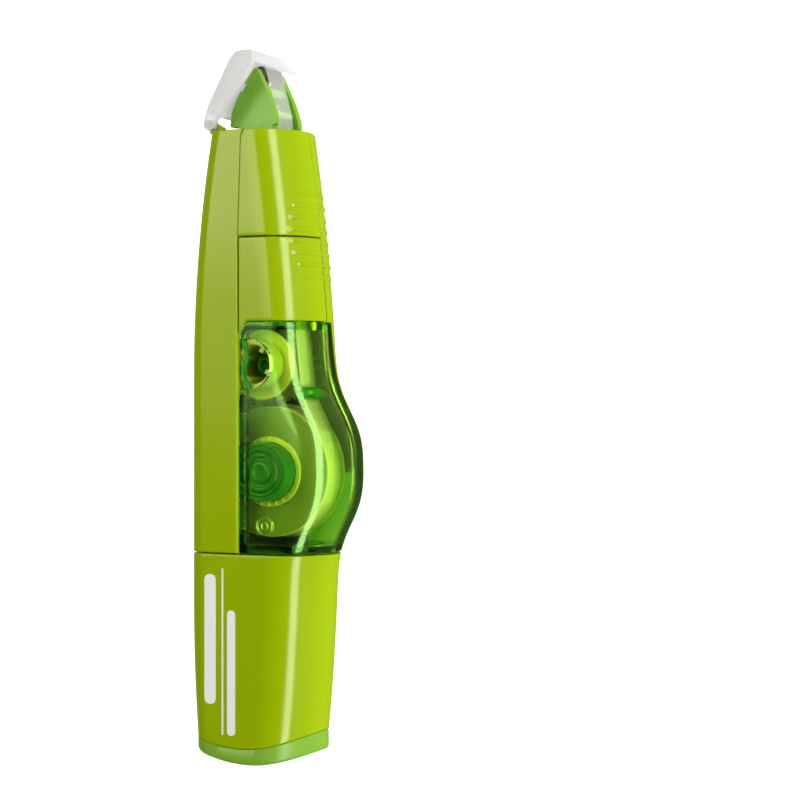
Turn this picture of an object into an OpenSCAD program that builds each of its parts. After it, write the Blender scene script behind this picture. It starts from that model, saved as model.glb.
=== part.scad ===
// Refillable correction tape roller, lying on its far flat side.
// The drawing frame is that of the pen: x runs from the tail to the tip, depth runs
// from the back line towards the belly, z runs from the far side (0) to the near side.
// Every module is then moved so that the origin is under the middle of the object.

/* [Body] */
// Thickness between the two flat sides
body_t = 16; // [15.5:0.5:17]
// Radius of the two long corners of the back
back_r = 3; // [2.6:0.2:3.4]
// Wall of the outer shells
wall = 1.2; // [1:0.1:1.3]
// Gap between pieces that slide past each other
gap = 0.2; // [0.15:0.05:0.25]
// Depth of the straight seam on the near side
seam_depth = 9.4; // [9.2:0.1:9.8]

/* [Stations] */
// Mouth of the rear grip
grip_x = 32; // [31:0.5:33]
// Front end of the clear window
window_x = 68.5; // [68:0.5:69]
// Front end of the cover panel
panel_x = 82; // [81:0.5:83]
// Front end of the nose
nose_x = 98.9; // [98.5:0.1:99.2]

/* [Outline] */
// Depth of the belly line where it is fullest, without the bulge
belly_depth = 22.3; // [22:0.1:22.6]
// Height of the bulge round the supply reel
bulge_h = 4.4; // [4:0.1:4.8]
// Station of the bulge
bulge_x = 45.5; // [45:0.5:46]
// Half length of the bulge
bulge_w = 10.4; // [10:0.1:11]

/* [Tape] */
// Width of the correction tape
tape_w = 5; // [4.2:0.2:5]
// Radius of the full supply winding
supply_r = 10.3; // [9:0.1:10.3]
// Radius of the used film on the take-up reel
takeup_r = 4.4; // [3.8:0.1:4.8]

/* [Hidden] */

$fn = 48;
half_t = body_t / 2;
cap_low_x = -1.3;
cover_top_x = 111.3;
x_mid = (cap_low_x + cover_top_x) / 2;
y_mid = (belly_depth + bulge_h) / 2;

// Case walls: under the shells, beside the tongue, and where they are exposed
case_wall = 0.9;
case_clear = wall + gap;
case_back = 2.6;
gear_room = 0.3;
window_wall = 1.1;
case_end_x = window_x - 0.02;

// Reel axes as [x, depth]
supply_at = [44.8, 12.3];
takeup_at = [61.8, 11.2];
guide_at = [57.2, 19];
guide_r = 1;

// Layers across the thickness
tape_z = half_t - tape_w / 2;
flange_z = tape_z - 0.6;
gear_z = 3.5;
gear_t = 1.2;
near_inside_z = body_t - window_wall;
far_inside_z = case_clear + case_wall;
near_under_z = body_t - far_inside_z;

// Reels, their axles and pins
run_clear = 0.05;
axle_r = 4.7;
hub_r = 5.6;
flange_r = supply_r + 0.3;
pin_r = 3.3;
post_r = 1.6;
idler_post_r = 0.8;
film_core_r = 3.4;

// Gears
gear_m = 0.5;
supply_teeth = 32;
idler_teeth = 10;
takeup_teeth = 22;

// Head
tip_at = [108.5, 10.4];
tip_r = 1;
tip_pin_r = 0.45;
plate_out = 4.3;
plate_t = 1.3;
front_guide_at = [102, 12.6];
rear_guide_at = [102, 8.2];
head_guide_r = 0.6;
tape_t = 0.12;

// Head cover
cover_at = [100, 4.1];
cover_pin_r = 0.7;
cover_wall = 1.2;

// ---- outline of the body -------------------------------------------------------
function back_depth(x) = 0.0023 * pow(max(0, x - 60), 2) + 0.0019 * pow(max(0, 24 - x), 2);
function belly_at(x) = belly_depth - 0.00133 * pow(x - 41, 2)
                     + bulge_h * exp(-pow(abs(x - bulge_x) / bulge_w, 3));
function arc_depth(x) = belly_at(x) - half_t;
function corner_r(w) = max(back_r - w, 0.2);
function flat_start(x, w) = back_depth(x) + w + corner_r(w);

// Round the section in eight steps, from the middle of the back over the near side:
// 1 and 2 end the near corner, 3 starts the belly arc, 4 is its crest, 5 its end,
// 6 and 7 end the far corner. w is the distance inside the outer skin.
// Gives [depth, z].
function skin(x, step, w) =
    let (t = step >= 8 ? step - 8 : step, r = corner_r(w), s = flat_start(x, w))
    t < 1 ? [back_depth(x) + w, half_t + t * (half_t - w - r)] :
    t < 2 ? [s - r * cos((t - 1) * 90), body_t - w - r + r * sin((t - 1) * 90)] :
    t < 3 ? [s + (t - 2) * (arc_depth(x) - s), body_t - w] :
    t < 5 ? [arc_depth(x) + (half_t - w) * sin((t - 3) * 90),
             half_t + (half_t - w) * cos((t - 3) * 90)] :
    t < 6 ? [arc_depth(x) + (t - 5) * (s - arc_depth(x)), w] :
    t < 7 ? [s - r * sin((t - 6) * 90), w + r - r * cos((t - 6) * 90)] :
            [back_depth(x) + w, w + r + (t - 7) * (half_t - w - r)];

// Step of a given depth on the near flat side, and on the far one
function near_step(x, depth) =
    2 + (depth - back_depth(x) - back_r) / (arc_depth(x) - back_depth(x) - back_r);
function far_step(x, depth) = 8 - near_step(x, depth);

// Near seam: straight for the sliding pieces, drifting away from the back on the nose
function seam_at(x) = seam_depth + 0.6 * max(0, x - panel_x) / (nose_x - panel_x);

// Far edge of the back shell: the crest on the nose and panel, then it draws back
// round the bulge, and stays on the flat side behind the bulge.
edge_front = 4.12;
edge_bulge = 4.33;
far_edge_depth = 13;
edge_turn = 2.5;
function blend(a, b, f) = a + (b - a) * min(1, max(0, f));
function far_edge(x) =
    x >= window_x ? 4 :
    x >= bulge_x ? blend(edge_bulge, edge_front, (x - bulge_x) / (window_x - bulge_x)) :
    blend(edge_bulge, far_step(x, far_edge_depth), (bulge_x - x) / edge_turn);

function steps(a, b, n) = [for (i = [0 : n]) a + (b - a) * i / n];
function tail_of(list) = [for (i = [1 : len(list) - 1]) list[i]];

// ---- lofted shells -------------------------------------------------------------
// A row is a list of [step, outer inset, inner inset] at one station.
function quad(a, b, c, d) = [[a, b, c], [a, c, d]];
function flat1(lists) = [for (l = lists) for (e = l) e];

// Tail seam and tail end, as curves over the depth
function cap_seam(depth) = 1.15 + 0.021 * pow(depth - 9.3, 2);
function cap_end(depth) = cap_low_x + 0.021 * pow(depth - 10.6, 2);

// A bent tail draws the first station onto the tail seam.
module loft(stations, rows, ring = false, bent_tail = false) {
    n = len(stations);
    m = len(rows[0]);
    last = ring ? m - 1 : m - 2;
    points = [for (side = [1, 2]) for (i = [0 : n - 1]) for (r = rows[i])
        let (p = skin(stations[i], r[0], r[side]))
        [bent_tail && i == 0 ? cap_seam(p[0]) : stations[i], -p[0], p[1]]];
    function o(i, j) = i * m + j % m;
    function q(i, j) = n * m + i * m + j % m;
    outer = [for (i = [0 : n - 2]) for (j = [0 : last])
        quad(o(i, j), o(i + 1, j), o(i + 1, j + 1), o(i, j + 1))];
    inner = [for (i = [0 : n - 2]) for (j = [0 : last])
        quad(q(i, j), q(i, j + 1), q(i + 1, j + 1), q(i + 1, j))];
    low_end = [for (j = [0 : last]) quad(o(0, j), o(0, j + 1), q(0, j + 1), q(0, j))];
    high_end = [for (j = [0 : last])
        quad(o(n - 1, j), q(n - 1, j), q(n - 1, j + 1), o(n - 1, j + 1))];
    first_side = ring ? [] : [for (i = [0 : n - 2])
        quad(o(i, 0), q(i, 0), q(i + 1, 0), o(i + 1, 0))];
    last_side = ring ? [] : [for (i = [0 : n - 2])
        quad(o(i, m - 1), o(i + 1, m - 1), q(i + 1, m - 1), q(i, m - 1))];
    polyhedron(points, concat(flat1(outer), flat1(inner), flat1(low_end),
                              flat1(high_end), flat1(first_side), flat1(last_side)));
}

module placed() translate([-x_mid, y_mid, 0]) children();

// Solid of an outline drawn as [x, -depth], from z0 up by h
module plate(outline, z0, h) translate([0, 0, z0]) linear_extrude(h) polygon(outline);
module disc(at, r, z0, h) translate([at[0], -at[1], z0]) cylinder(r = r, h = h);
module ring(at, r, bore, z0, h) difference() {
    disc(at, r, z0, h);
    disc(at, bore, z0 - 1, h + 2);
}
module block(x0, x1, d0, d1, z0, z1) translate([x0, -d1, z0]) cube([x1 - x0, d1 - d0, z1 - z0]);

// ---- outer shells --------------------------------------------------------------
window_stations = concat(steps(grip_x + 0.1, 40, 4), tail_of(steps(40, bulge_x - edge_turn, 2)),
                         tail_of(steps(bulge_x - edge_turn, bulge_x, 6)),
                         tail_of(steps(bulge_x, 56, 8)), tail_of(steps(56, case_end_x, 4)));

module back_shell() {
    stations = concat([grip_x], window_stations, [window_x + 0.1],
                      tail_of(steps(window_x + 0.1, panel_x, 3)),
                      tail_of(steps(panel_x, nose_x, 4)));
    rows = [for (x = stations)
        [for (t = concat(steps(far_edge(x) + 0.025, 6, 12), tail_of(steps(6, 7, 4)), [9],
                         tail_of(steps(9, 10, 4)), [8 + near_step(x, seam_at(x))]))
            [t, 0, wall]]];
    color("yellowgreen") placed() {
        loft(stations, rows);
        // two rails that the rear grip slides over, with the reel's way between them
        for (z = [3.2, 11.4]) {
            block(20, 36, 1.5, 2.3, z, z + 1.4);
            block(grip_x + 0.6, 36, wall - 0.1, 1.6, z, z + 1.4);
        }
    }
}

module near_quarter(x0, x1, clear, count) {
    stations = steps(x0, x1, count);
    rows = [for (x = stations)
        [for (t = concat(steps(near_step(x, seam_at(x) + clear), 3, 2),
                         tail_of(steps(3, 4 - clear / 12, 7))))
            [t, 0, wall]]];
    color("yellowgreen") placed() loft(stations, rows);
}

module nose_cover() {
    near_quarter(panel_x, nose_x, 0.05, 3);
    // locating rib under the flat
    color("yellowgreen") placed() block(84, 97, 11, 11.8, 14, body_t - wall + 0.1);
}
module refill_cover() near_quarter(window_x + 0.1, panel_x - gap, gap, 4);

// Lug and pin on each side of the nose, for the head cover
module hinge_lugs() color("yellowgreen") placed()
    for (side = [0, 1]) translate([0, 0, side * body_t]) mirror([0, 0, side]) {
        block(nose_x, cover_at[0], 3.6, 5.6, cover_wall + 0.15, 2.8);
        disc(cover_at, 0.95, cover_wall + 0.15, 1.45);
        disc(cover_at, cover_pin_r, 0.5, 1.7);
    }

module rear_grip() {
    stations = [3, 8, 14, 20, 26, grip_x - gap];
    ring_steps = concat(steps(0, 1, 1), tail_of(steps(1, 2, 5)), tail_of(steps(2, 3, 3)),
                        tail_of(steps(3, 5, 16)), tail_of(steps(5, 6, 3)),
                        tail_of(steps(6, 7, 5)));
    rows = [for (x = stations) [for (t = ring_steps) [t, 0, wall]]];
    color("yellowgreen") placed() loft(stations, rows, ring = true, bent_tail = true);
}

// Tail lid between two shallow curves that run through the thickness
module end_cap() {
    half = [for (t = concat([1], tail_of(steps(1, 2, 5)), tail_of(steps(2, 3, 6)),
                            tail_of(steps(3, 3.97, 9)))) skin(3, t, 0)];
    m = len(half);
    points = [for (p = half) for (f = [[cap_end(p[0]), 0], [cap_end(p[0]), 1],
                                       [cap_seam(p[0]), 0], [cap_seam(p[0]), 1]])
        [f[0], -p[0], f[1] == 0 ? p[1] : body_t - p[1]]];
    sides = [for (j = [0 : m - 2]) let (a = 4 * j, b = 4 * j + 4) concat(
        quad(a, b, b + 1, a + 1), quad(a + 2, a + 3, b + 3, b + 2),
        quad(a, a + 2, b + 2, b), quad(a + 1, b + 1, b + 3, a + 3))];
    ends = concat(quad(0, 1, 3, 2), quad(4 * m - 4, 4 * m - 2, 4 * m - 1, 4 * m - 3));
    color("limegreen") placed() polyhedron(points, concat(flat1(sides), ends));
}

// ---- refill case ---------------------------------------------------------------
// Lean of the walls that step between two insets
sliver = 0.006;

// Rows of the near half: under the shell, up through the seam, then exposed
function case_near_row(x) =
    let (s = near_step(x, seam_depth + gap), k = near_step(x, seam_depth + gap + case_wall),
         deep = case_clear + case_wall)
    concat([for (t = [0, 1]) [t, case_back, case_back + case_wall]],
           [[1.5, case_back, case_back + case_wall], [2, case_back, case_back + case_wall],
            [near_step(x, 7), case_clear, deep], [s, case_clear, deep],
            [s + sliver, 0, deep], [k, 0, deep], [k + sliver, 0, window_wall]],
           [for (t = steps(3, 4, 7)) [t, 0, window_wall]]);

// Rows of the far half: exposed, down past the shell's edge, then under the shell
function case_far_row(x) =
    let (e = far_edge(x) - 0.015, k = e - 0.07, deep = case_clear + case_wall)
    concat([for (t = steps(4, k, 5)) [t, 0, window_wall]],
           [[k + sliver, 0, deep], [e, 0, deep], [e + sliver, case_clear, deep]],
           [for (t = tail_of(steps(e, far_step(x, 7), 6))) [t, case_clear, deep]],
           [[6, case_back, case_back + case_wall - gear_room],
            [6.5, case_back, case_back + case_wall], [7, case_back, case_back + case_wall],
            [8 - 0.001, case_back, case_back + case_wall]]);

// Slot in the back of the case, where the full reel reaches through
module reel_slot() {
    reach = 6.8;
    block(supply_at[0] - reach, supply_at[0] + reach, 1, 5, flange_z - 0.3, tape_z + tape_w + 0.4);
}

module case_near() color("green", 0.6) placed() difference() {
    loft(window_stations, [for (x = window_stations) case_near_row(x)]);
    disc(takeup_at, 4.1, 10, 10);
    reel_slot();
}
module case_far() color("green", 0.6) placed() difference() {
    loft(window_stations, [for (x = window_stations) case_far_row(x)]);
    reel_slot();
}

// Wall that closes the case where it meets the grip
module case_tail_wall() {
    x = grip_x + 0.4;
    outline = [for (t = concat(steps(1, 2, 2), tail_of(steps(2, 3, 1)),
                               tail_of(steps(3, 5, 12)), tail_of(steps(5, 6, 1)),
                               tail_of(steps(6, 7, 2)))) skin(x, t, case_back + case_wall)];
    color("green", 0.6) placed() translate([x, 0, 0]) rotate([0, -90, 0]) mirror([0, 0, 1])
        linear_extrude(1) polygon([for (p = outline) [p[1], -p[0]]]);
}

// Post across the tape, with a thin pin to the case wall at each end
module guide_post() color("lightgreen", 0.6) placed() {
    disc(guide_at, guide_r, half_t - 2.7, 7.4);
    disc(guide_at, guide_r / 2, half_t - 3.5, 8.7);
}

// Sleeve on the near wall: it stops at the wall under the shell and reaches on beside it
module supply_axle() color("green", 0.6) placed() {
    ring(supply_at, axle_r, pin_r + run_clear, tape_z, near_under_z - tape_z);
    intersection() {
        ring(supply_at, axle_r, pin_r + run_clear, tape_z, near_inside_z - tape_z);
        block(supply_at[0] - 6, supply_at[0] + 6, seam_depth + case_wall + gap + 0.1, 20,
              near_under_z - 1, body_t);
    }
}

module supply_pin() color("green", 0.6) placed() {
    disc(supply_at, pin_r, far_inside_z, 10);
    disc(supply_at, pin_r - 1, far_inside_z + 10, 1);
}

module takeup_post() color("green", 0.6) placed() disc(takeup_at, post_r, far_inside_z + 0.02, 8.4);

// ---- gears and reels -----------------------------------------------------------
supply_pitch = gear_m * supply_teeth / 2;
idler_pitch = gear_m * idler_teeth / 2;
takeup_pitch = gear_m * takeup_teeth / 2;

// Idler centre, meshed with both gears on the side of the back
axis_gap = norm(takeup_at - supply_at);
to_idler = supply_pitch + idler_pitch;
from_idler = takeup_pitch + idler_pitch;
along = (pow(to_idler, 2) - pow(from_idler, 2) + pow(axis_gap, 2)) / (2 * axis_gap);
aside = sqrt(pow(to_idler, 2) - pow(along, 2));
dir = (takeup_at - supply_at) / axis_gap;
idler_at = supply_at + along * dir + aside * [dir[1], -dir[0]];

// Angles are in the drawing plane, where y is minus the depth
function bearing(a, b) = atan2(-(b[1] - a[1]), b[0] - a[0]);
supply_phase = bearing(supply_at, idler_at);
idler_phase = bearing(idler_at, supply_at) + 180 / idler_teeth;
idler_lead = idler_phase - bearing(idler_at, takeup_at);
takeup_phase = bearing(takeup_at, idler_at) - idler_lead * idler_teeth / takeup_teeth
             + 180 / takeup_teeth;

module gear(at, teeth, phase, bore, z0, h) {
    pitch = gear_m * teeth / 2;
    tip = pitch + 0.8 * gear_m;
    root = pitch - gear_m;
    pie = 360 / teeth;
    outline = [for (k = [0 : teeth - 1])
        for (c = [[-0.27, root], [-0.13, tip], [0.13, tip], [0.27, root]])
        let (a = phase + (k + c[0]) * pie) c[1] * [cos(a), sin(a)]];
    translate([at[0], -at[1], z0]) difference() {
        linear_extrude(h) polygon(outline);
        translate([0, 0, -1]) cylinder(r = bore, h = h + 2);
    }
}

module supply_gear() color("yellow") placed()
    gear(supply_at, supply_teeth, supply_phase, pin_r + run_clear, gear_z, gear_t);
module clutch_ring() color("dimgray") placed()
    ring(supply_at, 6.4, 5, gear_z + gear_t, flange_z - gear_z - gear_t);
module supply_core() color("greenyellow") placed() {
    ring(supply_at, flange_r, pin_r + run_clear, flange_z, 0.5);
    ring(supply_at, hub_r, axle_r + run_clear, flange_z + 0.4, tape_w + 0.5);
}
module supply_tape() color("olivedrab") placed()
    ring(supply_at, supply_r, hub_r, tape_z, tape_w);

module takeup_reel() color("greenyellow") placed() difference() {
    union() {
        disc(takeup_at, 5.6, flange_z, 0.5);
        disc(takeup_at, film_core_r, flange_z, tape_w + 1.2);
        disc(takeup_at, 5.6, tape_z + tape_w + 0.1, 0.5);
    }
    disc(takeup_at, post_r + run_clear, flange_z - 1, 9);
}
module takeup_film() color("whitesmoke") placed()
    ring(takeup_at, takeup_r, film_core_r, tape_z, tape_w);
module takeup_gear() color("yellow") placed()
    gear(takeup_at, takeup_teeth, takeup_phase, post_r + run_clear, gear_z, flange_z - gear_z);
module idler_post() color("green", 0.6) placed()
    disc(idler_at, idler_post_r, far_inside_z, 2.4);
module idler_gear() color("yellow") placed()
    gear(idler_at, idler_teeth, idler_phase, idler_post_r + run_clear, gear_z, gear_t);

// ---- neck, head and tape -------------------------------------------------------
neck_x = [67.9, 99.8];
module neck() color("yellowgreen") placed() {
    for (z = [half_t - plate_out, half_t + plate_out - plate_t])
        block(neck_x[0], neck_x[1], 7.6, 13.6, z, z + plate_t);
    block(neck_x[0], 96, 9.8, 11, half_t - plate_out, half_t + plate_out);
    // flange that closes the front of the case, with the way of the used film
    difference() {
        union() {
            block(neck_x[0], neck_x[0] + 1.3, 7.2, 13, far_inside_z + 0.1, near_under_z - 0.1);
            block(neck_x[0], neck_x[0] + 1.3, 4, 15, 3.6, body_t - 3.6);
        }
        block(neck_x[0] - 1, neck_x[0] + 2, 5.6, 8.4, tape_z - 0.4, tape_z + tape_w + 0.4);
    }
}

// Side plates that taper to the tip
plate_outline = [[99.8, -5.8], [102.3, -6.2], [103.9, -6.9], [106.6, -8.4], [108, -9.5],
                 [109, -10.3], [109, -10.8], [107, -11.75], [104.7, -12.9],
                 [102.8, -13.6], [101, -14.2], [99.8, -14.2]];
module head_frame() color("limegreen") placed() difference() {
    union() {
        for (z = [half_t - plate_out, half_t + plate_out - plate_t])
            plate(plate_outline, z, plate_t);
        block(99.8, 104, 9.8, 11, half_t - plate_out, half_t + plate_out);
        // crossbar under the tape
        block(104.9, 106.3, 10.6, 11.6, half_t - plate_out, half_t + plate_out);
    }
    disc(tip_at, tip_pin_r, half_t - plate_out + 0.3, 2 * (plate_out - 0.3));
    // finger notch in the near plate
    disc([106, 8.3], 0.7, half_t + plate_out - 0.7, 2);
}

module head_guides() color("lightgray") placed()
    for (at = [front_guide_at, rear_guide_at])
        disc(at, head_guide_r, half_t - plate_out + plate_t, 2 * (plate_out - plate_t));

module tip_roller() color("saddlebrown") placed() {
    disc(tip_at, tip_r, half_t - plate_out + plate_t + 0.1, 2 * (plate_out - plate_t - 0.1));
    disc(tip_at, tip_pin_r - run_clear, half_t - plate_out + 0.4, 2 * (plate_out - 0.4));
}

// A tape run lies on the belly side of a circle whose radius is given as positive, and
// on the back side where it is negative. This is the bearing of the run's normal.
function normal_of(a, ra, b, rb) = let (d = b - a) atan2(d[1], d[0]) + acos((ra - rb) / norm(d));
function on(at, r, bearing) = at + r * [cos(bearing), sin(bearing)];
function wrap(at, r, from, to, n) = [for (i = [0 : n]) on(at, r, from + (to - from) * i / n)];

// Closed outline of a ribbon along the middle line of the tape
function edge(path, offset) = let (n = len(path)) [for (i = [0 : n - 1])
    let (d = path[min(i + 1, n - 1)] - path[max(i - 1, 0)])
    path[i] + offset * [-d[1], d[0]] / norm(d)];
module ribbon(path) {
    back = edge(path, -tape_t / 2);
    n = len(back);
    outline = concat(edge(path, tape_t / 2), [for (i = [1 : n]) back[n - i]]);
    plate([for (p = outline) [p[0], -p[1]]], tape_z, tape_w);
}

ride_gap = run_clear + tape_t / 2;
ride_supply = supply_r + ride_gap;
ride_takeup = -takeup_r - ride_gap;
ride_post = -guide_r - ride_gap;
ride_guide = head_guide_r + ride_gap;
ride_tip = tip_r + ride_gap;

// Fresh tape: belly side of the reel, inside of the post, over the front of the head
module tape_feed() {
    leave = normal_of(supply_at, ride_supply, guide_at, ride_post);
    across = normal_of(guide_at, ride_post, front_guide_at, ride_guide);
    up = normal_of(front_guide_at, ride_guide, tip_at, ride_tip);
    color("white") placed() ribbon(concat(
        [on(supply_at, ride_supply, leave)], wrap(guide_at, ride_post, leave, across, 2),
        wrap(front_guide_at, ride_guide, across, up, 2), wrap(tip_at, ride_tip, up, 2, 6)));
}

// Used film: round the tip and down the back of the neck to the take-up reel
module tape_return() {
    down = normal_of(rear_guide_at, -ride_guide, tip_at, -ride_tip);
    home = normal_of(takeup_at, ride_takeup, rear_guide_at, -ride_guide);
    color("gainsboro") placed() ribbon(concat(
        wrap(tip_at, ride_tip, -2, down - 180, 6), wrap(rear_guide_at, -ride_guide, down, home, 2),
        [on(takeup_at, ride_takeup, home)]));
}

// ---- head cover ----------------------------------------------------------------
arm_outline = [[99.6, -3.3], [100.4, -3.25], [103, -4], [110.2, -8], [111.3, -9.2],
               [111.3, -11.2], [110.4, -12.1], [109.4, -12.1], [107.5, -10.9],
               [102.6, -6.9], [100.2, -5]];
// Back wall, roof and front lip, one bent strip across the whole width
strip_outline = [[101.5, -3.6], [103, -4], [110.2, -8], [111.3, -9.2], [111.3, -12.1],
                 [109.4, -12.1], [109.4, -11.6], [110.4, -11.4], [110.4, -9.6],
                 [109.6, -8.9], [102.9, -5.1], [101.4, -4.6]];
module head_cover() color("aliceblue", 0.8) placed() difference() {
    union() {
        for (z = [0, body_t - cover_wall]) {
            plate(arm_outline, z, cover_wall);
            disc(cover_at, 0.95, z, cover_wall);
        }
        plate(strip_outline, 0, body_t);
    }
    // blind holes for the two pins
    disc(cover_at, cover_pin_r + run_clear, 0.4, body_t - 0.8);
}

back_shell();
nose_cover();
hinge_lugs();
rear_grip();
end_cap();
refill_cover();
case_near();
case_far();
case_tail_wall();
neck();
head_frame();
head_guides();
guide_post();
supply_axle();
supply_pin();
takeup_post();
idler_post();
tape_feed();
tape_return();
supply_core();
supply_tape();
clutch_ring();
supply_gear();
takeup_reel();
takeup_film();
takeup_gear();
idler_gear();
tip_roller();
head_cover();
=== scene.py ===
"""Correction tape roller: detailed shells, reels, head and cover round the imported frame.

Measures are in millimetres in the pen's own frame: x runs from the tail to the tip,
depth from the back line towards the belly, z from the far side (0) to the near side.
"""

import math

import bmesh
import bpy
from mathutils import Matrix, Vector

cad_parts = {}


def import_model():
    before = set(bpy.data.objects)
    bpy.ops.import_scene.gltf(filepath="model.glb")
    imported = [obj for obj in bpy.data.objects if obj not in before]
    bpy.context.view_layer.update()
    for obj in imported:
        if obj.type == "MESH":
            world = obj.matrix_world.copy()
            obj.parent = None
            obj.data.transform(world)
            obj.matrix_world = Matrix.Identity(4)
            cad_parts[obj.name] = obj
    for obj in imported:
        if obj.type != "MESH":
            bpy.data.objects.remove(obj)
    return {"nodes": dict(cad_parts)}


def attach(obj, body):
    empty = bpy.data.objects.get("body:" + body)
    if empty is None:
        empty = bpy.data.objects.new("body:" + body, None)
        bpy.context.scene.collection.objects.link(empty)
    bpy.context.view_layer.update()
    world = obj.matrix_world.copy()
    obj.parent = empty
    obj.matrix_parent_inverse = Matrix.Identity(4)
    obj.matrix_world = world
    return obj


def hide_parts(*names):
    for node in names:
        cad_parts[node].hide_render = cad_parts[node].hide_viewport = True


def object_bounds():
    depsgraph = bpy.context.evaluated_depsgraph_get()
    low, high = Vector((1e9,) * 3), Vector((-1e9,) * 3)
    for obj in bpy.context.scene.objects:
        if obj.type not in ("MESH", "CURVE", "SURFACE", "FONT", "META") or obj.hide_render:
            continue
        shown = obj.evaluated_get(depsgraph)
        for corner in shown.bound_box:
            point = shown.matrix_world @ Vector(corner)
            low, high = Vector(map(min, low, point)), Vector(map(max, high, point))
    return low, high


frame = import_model()
cad_low, cad_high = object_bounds()

# ---- driving sizes, as in the part's source -------------------------------------------------
MM = 0.001
BODY_T = 16
HALF_T = BODY_T / 2
BACK_R = 3
WALL = 1.2
GAP = 0.2
SEAM_DEPTH = 9.4
GRIP_X = 32
WINDOW_X = 68.5
PANEL_X = 82
NOSE_X = 98.9
BELLY_DEPTH = 22.3
BULGE_H = 4.4
BULGE_X = 45.5
BULGE_W = 10.4
FAR_EDGE_DEPTH = 13
EDGE_BULGE = 4.33
EDGE_RISE = 0.21
EDGE_TURN = 2.5
CAP_LOW_X = -1.3
CASE_WALL = 0.9
CASE_CLEAR = WALL + GAP
CASE_BACK = 2.6
WINDOW_WALL = 1.1
TAPE_W = 5
SUPPLY_R = 10.3
TAKEUP_R = 4.4
TAPE_Z = HALF_T - TAPE_W / 2
FLANGE_Z = TAPE_Z - 0.6
SUPPLY = (44.8, 12.3)
TAKEUP = (61.8, 11.2)
POST = (57.2, 19)
TIP = (108.5, 10.4)
FRONT_GUIDE = (102, 12.6)
REAR_GUIDE = (102, 8.2)
COVER_PIN = (100, 4.1)
PLATE_OUT = 4.3
PLATE_T = 1.3
MARK = (36.4, 14)

X_MID = CAP_LOW_X - cad_low.x / MM
Y_MID = cad_high.y / MM

RIM = 0.22
RIM_GAP = 0.3
RIM_STEPS = [RIM * (1 - math.cos(math.radians(a))) for a in (0, 22.5, 45, 67.5, 90)]


def world(x, depth, z):
    """A point of the pen's frame, in metres in the row frame."""
    return ((x - X_MID) * MM, (Y_MID - depth) * MM, z * MM)


# ---- outline of the body --------------------------------------------------------------------
def back_depth(x):
    return 0.0023 * max(0, x - 60) ** 2 + 0.0019 * max(0, 24 - x) ** 2


def belly_at(x):
    bulge = BULGE_H * math.exp(-((abs(x - BULGE_X) / BULGE_W) ** 3))
    return BELLY_DEPTH - 0.00133 * (x - 41) ** 2 + bulge


def arc_depth(x):
    return belly_at(x) - HALF_T


def skin(x, step, w):
    """[depth, z] on the section at x, w inside the outer skin. Steps go round from the
    middle of the back over the near side: 3 starts the belly arc, 4 is its crest, 5 its
    end, and 8 is the start again."""
    t = step % 8
    r = max(BACK_R - w, 0.2)
    start = back_depth(x) + w + r
    arc = arc_depth(x)
    if t < 1:
        return back_depth(x) + w, HALF_T + t * (HALF_T - w - r)
    if t < 2:
        a = (t - 1) * math.pi / 2
        return start - r * math.cos(a), BODY_T - w - r + r * math.sin(a)
    if t < 3:
        return start + (t - 2) * (arc - start), BODY_T - w
    if t < 5:
        a = (t - 3) * math.pi / 2
        return arc + (HALF_T - w) * math.sin(a), HALF_T + (HALF_T - w) * math.cos(a)
    if t < 6:
        return arc + (t - 5) * (start - arc), w
    if t < 7:
        a = (t - 6) * math.pi / 2
        return start - r * math.sin(a), w + r - r * math.cos(a)
    return back_depth(x) + w, w + r + (t - 7) * (HALF_T - w - r)


def near_step(x, depth):
    start = back_depth(x) + BACK_R
    return 2 + (depth - start) / (arc_depth(x) - start)


def far_step(x, depth):
    return 8 - near_step(x, depth)


def seam_at(x):
    return SEAM_DEPTH + 0.6 * max(0, x - PANEL_X) / (NOSE_X - PANEL_X)


def smooth(f):
    f = min(1, max(0, f))
    return f * f * (3 - 2 * f)


def far_edge(x):
    """Step at which the back shell's far edge lies."""
    if x >= WINDOW_X:
        return 4
    if x >= BULGE_X:
        return EDGE_BULGE - EDGE_RISE * (x - BULGE_X) / (WINDOW_X - BULGE_X)
    turned = smooth((BULGE_X - x) / EDGE_TURN)
    return EDGE_BULGE + (far_step(x, FAR_EDGE_DEPTH) - EDGE_BULGE) * turned


# ---- mesh helpers ---------------------------------------------------------------------------
def steps(a, b, n):
    return [a + (b - a) * i / n for i in range(n + 1)]


def rim_inset(distance, radius=RIM):
    """How far a rounded rim has drawn in at a distance inside its edge."""
    if distance >= radius:
        return 0
    return radius - math.sqrt(max(0, radius ** 2 - (radius - distance) ** 2))


def rimmed(a, b, inner):
    """Values from a to b with close ones near both ends, for a rounded rim."""
    low = [a + s for s in RIM_STEPS]
    high = [b - s for s in reversed(RIM_STEPS)]
    return low + [v for v in inner if low[-1] + RIM_GAP < v < high[0] - RIM_GAP] + high


def make_piece(name, points, faces, body, slot, material, nodes=(), sharp=40):
    """One welded, smooth-shaded object on a body; nodes are the CAD nodes it replaces."""
    mesh = bpy.data.meshes.new(name)
    mesh.from_pydata(points, [], faces)
    bm = bmesh.new()
    bm.from_mesh(mesh)
    bmesh.ops.remove_doubles(bm, verts=bm.verts, dist=1e-6)
    bmesh.ops.recalc_face_normals(bm, faces=bm.faces)
    bm.to_mesh(mesh)
    bm.free()
    mesh.shade_smooth()
    mesh.set_sharp_from_angle(angle=math.radians(sharp))
    mesh.materials.append(material)
    obj = bpy.data.objects.new(name, mesh)
    bpy.context.collection.objects.link(obj)
    if body:
        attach(obj, body)
    if nodes:
        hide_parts(*nodes)
    return obj


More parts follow.
